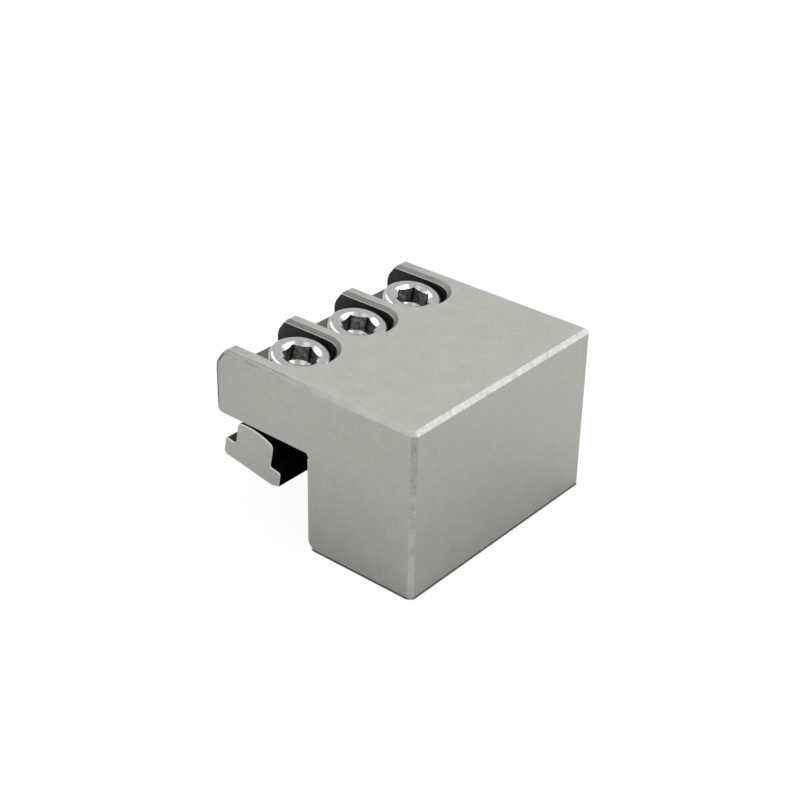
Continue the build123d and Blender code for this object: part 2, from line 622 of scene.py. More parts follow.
@dataclass(frozen=True)
class SatinSteel:
    """Bare steel, ground or stoned to a satin, with a faint lay along the rail."""

    name: str
    colour: Colour
    roughness: float
    sheen_spread: float = 0.04
    mottle: float = 0.07
    # How far from the pattern's middle the darkest and lightest tones come
    contrast: float = 0.2
    cloud_share: float = 0.5
    cloud_size: float = 2.8
    grain_size: float = 0.28
    grain_depth: float = 0.0035
    lay_length: float = 3.0
    lay_depth: float = 0.0015
    # Painted shade towards the back edge: the tone there, and how far along X it reaches
    back_shade_tone: float = 1.0
    back_from: float = -20.0
    back_to: float = -8.0
    outline: PaintedOutlineShade | None = None

    def material(self) -> bpy.types.Material:
        """Mix the finish.

        Returns:
            The material.
        """
        recipe = Recipe.of_material(self.name)
        place = recipe.surface_place()
        clouds = recipe.noise(place, self.cloud_size, detail=3.0)
        grain = recipe.noise(place, self.grain_size, detail=2.0)
        lay = recipe.noise(place, (self.grain_size, self.lay_length, self.grain_size), detail=1.0)
        both = recipe.sum_up("ADD", grain, recipe.sum_up("MULTIPLY", clouds, self.cloud_share))
        # Each of the two patterns lies about a half
        middle = (1 + self.cloud_share) / 2
        share = recipe.reshape(both, (middle - self.contrast, middle + self.contrast))
        colour = recipe.mottle(share, self.colour, self.mottle)
        # Painted shade: darker towards the back edge
        if self.back_shade_tone < 1:
            reach = (self.back_from, self.back_to)
            tone = recipe.reshape(recipe.split(place)[Axis.X], reach, (self.back_shade_tone, 1.0))
            colour = recipe.blend(tone, BLACK, colour)
        # Painted shade along the back outline of the end faces
        if self.outline is not None:
            colour = recipe.blend(self.outline.tint(recipe, place), BLACK, colour)
        sheen = (self.roughness - self.sheen_spread, self.roughness + self.sheen_spread)
        return recipe.finish({
            "Metallic": 1.0,
            "Base Color": colour,
            "Roughness": recipe.reshape(clouds, NEARLY_ALL, sheen),
            "Normal": recipe.relief(grain, self.grain_depth, recipe.relief(lay, self.lay_depth)),
        })


@dataclass(frozen=True)
class StonedChamfer:
    """A chamfer dressed by hand with a coarse stone, which left slanting strokes."""

    name: str
    bright: Colour
    dull: Colour
    roughness: float
    # How much rougher the strokes are
    rougher: float = 0.08
    along: Axis = Axis.X
    over: Axis = Axis.Z
    slant: float = -1.41
    stroke_width: float = 0.3
    stroke_length: float = 1.1
    stroke_depth: float = 0.003
    patch_size: float = 3.0
    # How strong the strokes still are in the faintest patches
    faintest: float = 0.3
    # Painted shade: the tone changes evenly along one axis, from this factor at the first place to
    # 1
    fade_along: Axis = Axis.X
    fade_from: float = -20.0
    fade_to: float = 20.0
    painted_shade_tone: float = 1.0
    # Where along X long streaks give way to the slanting strokes, and the streaks' size
    streaks_until: float = -30.0
    strokes_from: float = -25.0
    streak_width: float = 0.22
    streak_length: float = 4.0
    # How dull the deepest strokes are, against the streaks
    strokes_share: float = 1.0

    def material(self) -> bpy.types.Material:
        """Mix the finish.

        Returns:
            The material.
        """
        recipe = Recipe.of_material(self.name)
        place = recipe.surface_place()
        parts = recipe.split(place)
        slanted = recipe.sum_up("MULTIPLY", parts[self.over], self.slant)
        across = recipe.sum_up("ADD", parts[self.along], slanted)
        stroke_size = (self.stroke_width, self.stroke_length, self.stroke_length)
        strokes = recipe.noise(
            recipe.compose(across, parts[self.over]), stroke_size, detail=3.0, roughness=0.6
        )
        streak_size = (self.streak_length, self.streak_width, self.streak_width)
        streaks = recipe.noise(place, streak_size, detail=2.0)
        patches = recipe.noise(place, self.patch_size, detail=2.0)
        marks = recipe.blend(
            recipe.reshape(parts[Axis.X], (self.streaks_until, self.strokes_from)),
            recipe.reshape(streaks, MIDDLING),
            recipe.reshape(strokes, MIDDLING, (0.0, self.strokes_share)),
        )
        strength = recipe.reshape(patches, MIDDLING, (self.faintest, 1.0))
        share = recipe.sum_up("MULTIPLY", marks, strength)
        # Painted shade along one axis
        fade = (self.fade_from, self.fade_to)
        tone = recipe.reshape(parts[self.fade_along], fade, (self.painted_shade_tone, 1.0))
        sheen = (self.roughness, self.roughness + self.rougher)
        return recipe.finish({
            "Metallic": 1.0,
            "Base Color": recipe.blend(tone, BLACK, recipe.blend(share, self.bright, self.dull)),
            "Roughness": recipe.reshape(share, UNIT, sheen),
            "Normal": recipe.relief(strokes, self.stroke_depth),
        })


@dataclass(frozen=True)
class BlackenedSteelAndShade:
    """Dark steel with rubbed patches: steel left dark by its heat treatment, and near-black painted
    shade where it stands in for shadow.
    """

    name: str
    colour: Colour
    rubbed: Colour
    roughness: float
    sheen_spread: float = 0.06
    metallic: float = 1.0
    gloss: float = 0.5
    rubbed_share: float = 0.35
    rubbed_range: Range = (0.45, 0.75)
    patch_size: float = 1.6
    grain_size: float = 0.2
    grain_depth: float = 0.006

    def material(self) -> bpy.types.Material:
        """Mix the finish.

        Returns:
            The material.
        """
        recipe = Recipe.of_material(self.name)
        place = recipe.surface_place()
        patches = recipe.noise(place, self.patch_size, detail=4.0)
        grain = recipe.noise(place, self.grain_size, detail=2.0)
        share = recipe.reshape(patches, self.rubbed_range, (0.0, self.rubbed_share))
        sheen = (self.roughness - self.sheen_spread, self.roughness + self.sheen_spread)
        return recipe.finish({
            "Metallic": self.metallic,
            "Specular IOR Level": self.gloss,
            "Base Color": recipe.blend(share, self.colour, self.rubbed),
            "Roughness": recipe.reshape(grain, NEARLY_ALL, sheen),
            "Normal": recipe.relief(grain, self.grain_depth),
        })


@dataclass(frozen=True)
class PunchedSteel:
    """The walls of a hex socket: mottled by the punch, with painted shade darkening the corners and
    the rim.
    """

    name: str
    colour: Colour
    mottled: Colour
    socket_shade: Colour
    roughness: float
    patch_size: float = 0.7
    patch_range: Range = (0.38, 0.66)
    grain_depth: float = 0.02
    # How far from the axis the painted shade of the corners starts, and where it is full
    socket_shade_from: float = 2.68
    socket_shade_full: float = 2.86
    # Where the rim lies in the middle of a flat, how fast it rises outwards, and the width of its
    # painted shade
    rim_radius: float = 2.5
    rim_height: float = 5.224
    rim_rise: float = 0.577
    rim_full: float = 0.1
    rim_clear: float = 0.22

    def material(self) -> bpy.types.Material:
        """Mix the finish.

        Returns:
            The material.
        """
        recipe = Recipe.of_material(self.name)
        place = recipe.surface_place()
        patches = recipe.noise(place, self.patch_size, detail=4.0, roughness=0.65)
        walls = recipe.blend(recipe.reshape(patches, self.patch_range), self.colour, self.mottled)
        radius = recipe.bench_radius()
        axis_level = self.rim_height - self.rim_radius * self.rim_rise
        rim_level = recipe.sum_up("MULTIPLY_ADD", radius, self.rim_rise, axis_level)
        height = recipe.split(recipe.bench_place())[Axis.Z]
        below_rim = recipe.sum_up("SUBTRACT", rim_level, height)
        # Painted shade in the corners and along the rim
        socket_shade_share = recipe.sum_up(
            "MAXIMUM",
            recipe.reshape(radius, (self.socket_shade_from, self.socket_shade_full)),
            recipe.reshape(below_rim, (self.rim_clear, self.rim_full)),
        )
        return recipe.finish({
            "Metallic": 1.0,
            "Base Color": recipe.blend(socket_shade_share, walls, self.socket_shade),
            "Roughness": self.roughness,
            "Normal": recipe.relief(patches, self.grain_depth),
        })


@dataclass(frozen=True)
class TurnedSteel:
    """Bright plated steel with the fine rings that turning leaves about the axis."""

    name: str
    colour: Colour
    roughness: float
    smoother: float = 0.02
    rougher: float = 0.03
    ring_width: float = 0.12
    ring_depth: float = 0.0006
    patch_size: float = 0.7
    mottle: float = 0.08

    def material(self) -> bpy.types.Material:
        """Mix the finish.

        Returns:
            The material.
        """
        recipe = Recipe.of_material(self.name)
        rings = recipe.noise(recipe.compose(recipe.bench_radius()), self.ring_width, detail=1.0)
        patches = recipe.noise(recipe.surface_place(), self.patch_size, detail=3.0)
        share = recipe.reshape(patches, MIDDLING)
        sheen = (self.roughness - self.smoother, self.roughness + self.rougher)
        return recipe.finish({
            "Metallic": 1.0,
            "Base Color": recipe.mottle(share, self.colour, self.mottle),
            "Roughness": recipe.reshape(patches, NEARLY_ALL, sheen),
            "Normal": recipe.relief(rings, self.ring_depth),
        })


class Region(Enum):
    """A part of a piece's surface, with the finish that it wears."""

    @property
    def slot(self) -> int:
        """The region's material slot."""
        return list(type(self)).index(self)

    @classmethod
    def paint(cls, piece: bpy.types.Object) -> None:
        """Give a piece the material of every region, in the order of the slots."""
        for region in cls:
            piece.data.materials.append(region.value.material())


class JawRegion(Region):
    """The regions of the jaw block."""

    GROUND = SatinSteel("ground_steel", GROUND_STEEL, 0.43, back_shade_tone=0.92)
    SLOT = BlackenedSteelAndShade("slot_oxide", (0.034, 0.037, 0.042), (0.07, 0.075, 0.08), 0.5)
    SLOT_MOUTH = SatinSteel(
        "slot_mouth_steel", (0.162, 0.17, 0.164), 0.42, mottle=0.16, cloud_size=1.2
    )
    END_CHAMFER = StonedChamfer(
        "end_chamfer", (0.425, 0.435, 0.4), (0.27, 0.275, 0.25), 0.4,
        painted_shade_tone=0.8, streaks_until=-5.0, strokes_from=3.0, strokes_share=0.5,
    )
    FRONT_CHAMFER = StonedChamfer(
        "front_chamfer", (0.405, 0.413, 0.388), (0.275, 0.282, 0.265), 0.35,
        along=Axis.Y, slant=-3.1, stroke_width=0.4, stroke_length=0.7, patch_size=1.0,
    )
    CORNER_CHAMFER = StonedChamfer(
        "corner_chamfer", (0.5, 0.51, 0.47), (0.34, 0.346, 0.318), 0.42,
        along=Axis.Z, over=Axis.X, slant=1.41, stroke_length=0.5, patch_size=1.6,
        fade_along=Axis.Z, fade_from=29.0, fade_to=4.0, painted_shade_tone=0.74,
    )
    # Partly wear, partly painted highlight: the slots' worn edges, and a painted highlight on the
    # corner facet and on breaks beside the shade
    WORN_AND_LIT_EDGE = SatinSteel("rubbed_edge", (0.5, 0.51, 0.48), 0.36)
    SEAT = BlackenedSteelAndShade("seat_oxide", (0.12, 0.124, 0.118), (0.2, 0.2, 0.19), 0.45)
    # Painted shade: near black on the foot's breaks as a contact shadow, and on the breaks round
    # the back as their dark reflection
    DARK_EDGE = BlackenedSteelAndShade(
        "hardened_edge", (0.03, 0.03, 0.028), (0.07, 0.07, 0.065), 0.6, metallic=0.0, gloss=0.1
    )
    # The top is a region of its own to take a deeper painted shade towards the back
    TOP = SatinSteel("ground_top", GROUND_STEEL, 0.43, back_shade_tone=0.78, back_to=-10.0)
    END_FACE = SatinSteel("ground_end", GROUND_STEEL, 0.43, back_shade_tone=0.92, outline=PaintedOutlineShade())


class BarRegion(Region):
    """The regions of the clamp bar."""

    SIDE = BlackenedSteelAndShade("bar_oxide", (0.03, 0.03, 0.031), (0.06, 0.06, 0.062), 0.5)
    END = SatinSteel("sawn_steel", (0.42, 0.44, 0.395), 0.42)
    # Painted highlight: the ends' broken edges are lighter than the ends
    BROKEN_EDGE = SatinSteel("bar_edge", (0.56, 0.57, 0.54), 0.34)
    # Painted shade: near black on the sides that face the leg and on the dome, which lie in shade
    # under the overhang
    SHADED_SIDE = BlackenedSteelAndShade(
        "bar_soot", (0.0012, 0.0015, 0.0013), (0.004, 0.0045, 0.004), 0.94, metallic=0.0, gloss=0.0
    )


class ScrewRegion(Region):
    """The regions of a cap screw."""

    HEAD = TurnedSteel("plated_head", (0.42, 0.425, 0.415), 0.17)
    SOCKET = PunchedSteel(
        "socket_steel", (0.12, 0.12, 0.115), (0.5, 0.5, 0.48), (0.03, 0.031, 0.03), 0.42
    )
    THREAD = TurnedSteel("plated_thread", (0.45, 0.45, 0.44), 0.34)


@dataclass
class JawBlock:
    """The hardened block: a thick leg, an overhang, and open slots for the screws' heads."""

    low: Vector
    high: Vector
    stations: list[Station]
    overhang_thickness: float = 11.6
    leg_thickness: float = 21.0
    slot_width: float = 11.0
    seat_depth: float = 6.65
    hole_radius: float = 3.3
    edge_chamfer: Break = Break(0.7)
    slot_chamfer: Break = Break(0.6)
    hole_chamfer: Break = Break(0.3)
    foot_break: Break = Break(0.25)
    back_break: Break = Break(0.2)
    fine_break: Break = Break(0.025, 2)
    worn_break: Break = Break(0.07, 2)
    heel_slope_run: float = 2.0
    heel_slope_rise: float = 2.7
    slope_low_round: Break = Break(3.0, 8)
    slope_high_round: Break = Break(0.9, 6)
    heel_under_round: Break = Break(1.0, 8)
    leg_toe_round: Break = Break(1.8, 12)
    relief_depth: float = 0.4
    relief_height: float = 1.4
    # How far an edge may turn and still be left as it is
    sharpest: float = radians(28)
    overrun: float = 1.0
    piece: bpy.types.Object = field(init=False)

    def __post_init__(self) -> None:
        """Work out the levels that the sizes set."""
        self.leg_x = self.high.x - self.leg_thickness
        self.underside = self.high.z - self.overhang_thickness

    def crown_below_seat(self, bar_gap: float, dome_radius: float) -> float:
        """How far the bar's crown lies below a seat, down the screw's axis.

        Args:
            bar_gap: the gap between the overhang's underside and the bar's dome.
            dome_radius: the radius of the bar's dome.

        Returns:
            The distance.
        """
        lean = self.stations[0].lean
        dome_middle = (self.overhang_thickness + dome_radius + bar_gap) / cos(lean)
        return dome_middle - dome_radius - self.seat_depth

    def build(self) -> bpy.types.Object:
        """Model and dress the block.

        Returns:
            The block, in metres.
        """
        self._rough_out()
        self._relieve_corner()
        self._break_edges()
        self._mill_slots()
        self._slope_heel()
        self._drill_holes()
        self._break_back()
        self._dress()
        self._stone_edges()
        finish_off(self.piece)
        return self.piece

    def _rough_out(self) -> None:
        """Start from a plate for the overhang, and draw the leg down out of it."""
        size = self.high - self.low
        middle = (self.high + self.low) / 2
        self.piece = add_blank(
            "ground_jaw", bpy.ops.mesh.primitive_cube_add, size=1.0,
            location=(middle.x, middle.y, self.high.z - self.overhang_thickness / 2),
            scale=(size.x, size.y, self.overhang_thickness),
        )
        with Bench(self.piece) as bench:
            bench.saw((self.leg_x, 0, 0), (1, 0, 0), drop=False)
            bench.draw_out((0, 0, self.low.z - self.underside), lambda p: p.x > self.leg_x)

    def _relieve_corner(self) -> None:
        """Cut the small relief in the inside corner, where the rail's edge seats."""
        middle_z = self.underside - self.relief_height / 2
        on_line = at(x=self.leg_x, z=middle_z)
        with Bench(self.piece) as bench:
            for level in (middle_z, self.underside - self.relief_height):
                bench.saw((0, 0, level), (0, 0, 1), drop=False)
            bench.pick(Grip.VERTEX, lambda vertex: on_line(vertex.co))
            bpy.ops.transform.translate(value=(self.relief_depth, 0, 0))
            bench.tidy_flats()

    def _break_edges(self) -> None:
        """Round the heel and the toe, and chamfer the rim, the clamping face and the foot."""
        low, high = self.low, self.high
        toe_x = self.leg_x + self.leg_toe_round.width
        relief_z = self.underside - self.relief_height

        def round_foot(p: Vector) -> bool:
            """Whether a place is on the foot's outline, or on the leg's inner outline."""
            by_toe = near(abs(p.y), high.y) and p.x < toe_x + SLACK and p.z < relief_z + SLACK
            return by_toe or (near(p.z, low.z) and p.x > toe_x - SLACK)

        with Bench(self.piece) as bench:
            bench.bevel(self.heel_under_round, joins(at(x=low.x, z=self.underside)))
            bench.bevel(self.leg_toe_round, joins(at(x=self.leg_x, z=low.z)))
            bench.bevel(
                self.edge_chamfer,
                joins(at(side=high.y, z=high.z), lengthwise=False),
                joins(at(x=high.x, side=high.y), lengthwise=False),
                joins(at(x=high.x, z=high.z)),
            )
            bench.bevel(
                self.foot_break,
                joins(round_foot, lengthwise=False),
                joins(lambda p: near(p.x, high.x) and round_foot(p)),
            )

    def _slot_cutter(self, station: Station) -> bpy.types.Object:
        """Make the body that a screw's slot is milled with.

        Args:
            station: the screw's station.

        Returns:
            A half-round body drawn out past the back of the block, leaning on its seat.
        """
        radius = self.slot_width / 2
        climb = self.seat_depth + radius * tan(station.lean) + self.overrun
        reach = (station.seat.x - self.low.x) / cos(station.lean) + self.seat_depth + self.overrun
        cutter = turn_cylinder("slot_cutter", radius, 0.0, climb)
        with Bench(cutter) as bench:
            bench.saw((0, 0, 0), (-1, 0, 0))
            bench.draw_out((-reach, 0, 0))
            bench.face_outwards()
        station.set_in_place(cutter)
        return cutter

    def _mill_slots(self) -> None:
        """Mill the screws' slots, open at the back, and chamfer their mouths."""
        for station in self.stations:
            carve(self.piece, self._slot_cutter(station))
        inner_y = self.high.y - self.edge_chamfer.width - SLACK
        inner_x = self.high.x - self.edge_chamfer.width - SLACK
        on_top = joins(lambda p: near(p.z, self.high.z) and abs(p.y) < inner_y)
        at_front = joins(lambda p: p.x > inner_x)
        at_back = joins(at(x=self.low.x))
        with Bench(self.piece) as bench:
            bench.bevel(
                self.slot_chamfer, lambda e: on_top(e) and not at_front(e) and not at_back(e)
            )

    def _slope_heel(self) -> None:
        """Cut the slope at the top of the back edge, and round both of its borders."""
        low_edge = (self.low.x, 0, self.high.z - self.heel_slope_rise)
        # How far the outline turns at the slope's lower border
        low_turn = atan2(self.heel_slope_run, self.heel_slope_rise)
        with Bench(self.piece) as bench:
            bench.saw(low_edge, (-self.heel_slope_rise, 0, self.heel_slope_run))
            bench.bevel(
                self.slope_low_round.at_turn(low_turn), joins(at(x=low_edge[0], z=low_edge[2]))
            )
            bench.bevel(
                self.slope_high_round.at_turn(pi / 2 - low_turn),
                joins(at(x=self.low.x + self.heel_slope_run, z=self.high.z)),
            )

    def _drill_holes(self) -> None:
        """Drill a clearance hole under each seat, and break its lower rim."""
        for station in self.stations:
            drop = (station.seat.z - self.underside) / cos(station.lean)
            depth = drop + self.hole_radius + self.overrun
            drill = turn_cylinder("hole_drill", self.hole_radius, -depth, self.overrun)
            station.set_in_place(drill)
            carve(self.piece, drill)
        back_x = self.low.x + self.heel_under_round.width + SLACK
        end_y = self.high.y - self.slot_width / 2 + self.hole_radius

        def on_lower_rim(p: Vector) -> bool:
            """Whether a place on the underside borders a hole."""
            clear_of_outline = back_x < p.x < self.leg_x - SLACK and abs(p.y) < end_y
            return near(p.z, self.underside) and clear_of_outline

        with Bench(self.piece) as bench:
            bench.bevel(self.hole_chamfer, joins(on_lower_rim))

    def _break_back(self) -> None:
        """Break the outline of both end faces round the back of the overhang."""
        run_below_chamfer = 1 - self.edge_chamfer.width / self.heel_slope_rise
        slope_top_x = self.low.x + self.heel_slope_run * run_below_chamfer + SLACK

        def on_outline(p: Vector) -> bool:
            """Whether a place is on an end face's outline, behind or below the overhang."""
            below = near(p.z, self.underside) and p.x < self.leg_x + SLACK
            return near(abs(p.y), self.high.y) and (p.x < slope_top_x or below)

        with Bench(self.piece) as bench:
            bench.bevel(self.back_break, joins(on_outline, lengthwise=False))

    def _region(self, centre: Vector, normal: Vector) -> JawRegion:
        """Tell which region a face belongs to.

        Args:
            centre: the face's centre.
            normal: the face's normal.

        Returns:
            The region.
        """
        high, foot_break = self.high, self.foot_break.width
        # The small facet where three chamfers meet gets a painted highlight
        if slants(normal.z) and min(normal.x, abs(normal.y)) > SLANTED[0]:
            return JawRegion.WORN_AND_LIT_EDGE
        if slants(normal.z) and centre.z > high.z - self.edge_chamfer.width:
            if centre.x > high.x - self.edge_chamfer.width:
                return JawRegion.FRONT_CHAMFER
            if abs(centre.y) > high.y - self.edge_chamfer.width:
                return JawRegion.END_CHAMFER
        if slants(normal.x) and abs(normal.y) > SLANTED[0]:
            return JawRegion.CORNER_CHAMFER
        for station in self.stations:
            region = self._slot_region(station, centre, normal)
            if region is not None:
                return region
        if normal.z > SQUARE and near(centre.z, high.z):
            return JawRegion.TOP
        if abs(normal.y) > SQUARE and near(abs(centre.y), high.y):
            return JawRegion.END_FACE
        # The breaks at the ends get painted light and shade: a light rim in the shade under the
        # overhang, near black elsewhere
        if SLACK < abs(normal.y) < SQUARE and abs(centre.y) > high.y - foot_break:
            in_shade = foot_break < centre.z < self.underside + self.heel_under_round.width
            return JawRegion.WORN_AND_LIT_EDGE if in_shade else JawRegion.DARK_EDGE
        # The foot's break along the clamping face is near black as a painted contact shadow
        if slants(-normal.z) and centre.z < self.low.z + foot_break:
            return JawRegion.DARK_EDGE
        return JawRegion.GROUND

    def _slot_region(self, station: Station, centre: Vector, normal: Vector) -> JawRegion | None:
        """Tell which part of one screw's slot a face belongs to.

        Args:
            station: the screw's station.
            centre: the face's centre.
            normal: the face's normal.

        Returns:
            The region, or nothing for a face outside the slot.
        """
        place = station.upright(centre)
        half_width = self.slot_width / 2
        mouth_z = self.high.z - self.slot_chamfer.width
        at_mouth = centre.z > mouth_z
        by_slot = abs(place.y) < half_width + self.slot_chamfer.width and place.x < self.slot_width
        if at_mouth and by_slot and slants(normal.z):
            return JawRegion.SLOT_MOUTH
        within = abs(place.y) < half_width + SLACK and place.x < half_width + SLACK
        if within and abs(place.z) < SLACK and normal.dot(station.axis) > NEARLY_SQUARE:
            return JawRegion.SEAT
        in_hole = place.xy.length < self.hole_radius + SLACK
        off_outline = centre.x > self.low.x + SLACK and not at_mouth
        in_slot = within and place.z > -SLACK and off_outline
        return JawRegion.SLOT if in_hole or in_slot else None

    def _dress(self) -> None:
        """Give every region its material, and every face its region's."""
        JawRegion.paint(self.piece)
        for face in self.piece.data.polygons:
            face.material_index = self._region(face.center, face.normal).slot

    def _stone_edges(self) -> None:
        """Break every convex sharp edge by a hair's breadth, and those of the slots more."""
        worn = {JawRegion.SLOT_MOUTH.slot, JawRegion.SLOT.slot}
        bright = JawRegion.WORN_AND_LIT_EDGE.slot

        def is_sharp(edge: bmesh.types.BMEdge) -> bool:
            """Whether an edge stands out, and is long enough to break."""
            return edge.calc_length() >= self.worn_break.width and stands_out(edge, self.sharpest)

        def slots_beside(edge: bmesh.types.BMEdge) -> set[int]:
            """The material slots of the faces that meet at an edge."""
            return {face.material_index for face in edge.link_faces}

        with Bench(self.piece) as bench:
            # The slots' worn edges take the bright finish, which is partly painted highlight
            bench.bevel(
                self.worn_break, lambda e: is_sharp(e) and slots_beside(e) == worn, finish=bright
            )
            bench.bevel(self.fine_break, lambda e: is_sharp(e) and bright not in slots_beside(e))
            bench.face_outwards()


@dataclass
class ClampBar:
    """The bar of hat section below the overhang, with a tapped hole for each screw."""

    stations: list[Station]
    length: float
    crown_below_seat: float
    hole_radius: float = 3.05
    gap: float = 0.35
    dome_radius: float = 11.5
    dome_edge_round: Break = Break(0.9, 7)
    neck_width: float = 7.6
    neck_side: float = 4.0
    neck_root_round: Break = Break(0.3, 4)
    flange_width: float = 12.0
    flange_thickness: float = 3.2
    flange_shoulder_round: Break = Break(0.5, 5)
    front_toe_run: float = 1.5
    front_toe_rise: float = 0.6
    back_toe: float = 0.5
    hole_chamfer: float = 0.4
    end_break: Break = Break(0.15)
    overrun: float = 1.0
    piece: bpy.types.Object = field(init=False)

    def __post_init__(self) -> None:
        """Work out the levels below the crown."""
        self.half_neck = self.neck_width / 2
        self.half_flange = self.flange_width / 2
        self.dome_edge_z = sqrt(self.dome_radius**2 - self.half_neck**2) - self.dome_radius
        self.ledge_z = self.dome_edge_z - self.neck_side
        self.sole_z = self.ledge_z - self.flange_thickness

    def build(self) -> bpy.types.Object:
        """Model and dress the bar.

        Returns:
            The bar, in metres.
        """
        self._draw_section()
        self._round_section()
        middle = self.stations[len(self.stations) // 2]
        for station in self.stations:
            tool = self._tap_tool()
            tool.location.y = station.seat.y - middle.seat.y
            settle(tool)
            carve(self.piece, tool)
        BarRegion.paint(self.piece)
        self._break_ends()
        self._dress()
        self.piece.location.z = -self.crown_below_seat
        settle(self.piece)
        middle.set_in_place(self.piece)
        finish_off(self.piece)
        return self.piece

    def _draw_section(self) -> None:
        """Saw the neck out of a round bar, and draw the flange out of its sides."""
        half_step = pi / PLAIN_ROUND
        self.piece = add_blank(
            "hat_bar", bpy.ops.mesh.primitive_cylinder_add, vertices=PLAIN_ROUND,
            radius=self.dome_radius / cos(half_step), depth=self.length,
            location=(0, 0, -self.dome_radius), rotation=(pi / 2, half_step, 0),
        )
        with Bench(self.piece) as bench:
            for side in (1, -1):
                bench.saw((side * self.half_neck, 0, 0), (side, 0, 0))
            bench.saw((0, 0, self.sole_z), (0, 0, -1))
            bench.saw((0, 0, self.ledge_z), (0, 0, 1), drop=False)
            for side in (1, -1):
                step = side * (self.half_flange - self.half_neck)
                bench.draw_out((step, 0, 0), lambda p: p.z < self.ledge_z)
            bench.tidy_flats()

    def _round_section(self) -> None:
        """Cut the flange's toes, and round its shoulders, the neck's roots and the dome's edges."""
        # The dome meets the neck's side at more than a right angle
        dome_turn = pi / 2 - atan2(self.half_neck, self.dome_radius + self.dome_edge_z)
        with Bench(self.piece) as bench:
            bench.saw(
                (self.half_flange, 0, self.sole_z + self.front_toe_rise),
                (self.front_toe_rise, 0, -self.front_toe_run),
            )
            bench.saw((-self.half_flange, 0, self.sole_z + self.back_toe), (-1, 0, -1))
            for x, z, shape in (
                (self.half_flange, self.ledge_z, self.flange_shoulder_round),
                (self.half_neck, self.ledge_z, self.neck_root_round),
                (self.half_neck, self.dome_edge_z, self.dome_edge_round.at_turn(dome_turn)),
            ):
                bench.bevel(
                    shape, joins(lambda p: near(abs(p.x), x) and near(p.z, z), lengthwise=True)
                )

    def _tap_tool(self) -> bpy.types.Object:
        """Make the body that drills a hole and breaks both of its rims.

        Returns:
            A cylinder that widens at both ends, about the bar's upright axis.
        """
        bottom = self.sole_z + self.hole_chamfer
        tool = turn_cylinder("tap_tool", self.hole_radius, bottom, -self.hole_chamfer, PLAIN_ROUND)
        with Bench(tool) as bench:
            for step in (self.overrun, -self.overrun):
                bench.draw_out((0, 0, step))
                bench.spread((self.hole_radius + self.overrun) / self.hole_radius)
            bench.face_outwards()
        return tool

    def _break_ends(self) -> None:
        """Break the outline of both ends."""
        outline = joins(at(side=self.length / 2), lengthwise=False)
        with Bench(self.piece) as bench:
            bench.bevel(self.end_break, outline, finish=BarRegion.BROKEN_EDGE.slot)
            bench.face_outwards()

    def _dress(self) -> None:
        """Give the ends and the shaded sides their regions' materials."""
        for face in self.piece.data.polygons:
            # Faces towards the leg, and the dome, get the painted shade
            shaded = face.normal.x > SLACK or face.center.z > self.dome_edge_z
            if abs(face.normal.y) > NEARLY_SQUARE and near(abs(face.center.y), self.length / 2):
                face.material_index = BarRegion.END.slot
            elif face.material_index == BarRegion.SIDE.slot and shaded:
                face.material_index = BarRegion.SHADED_SIDE.slot


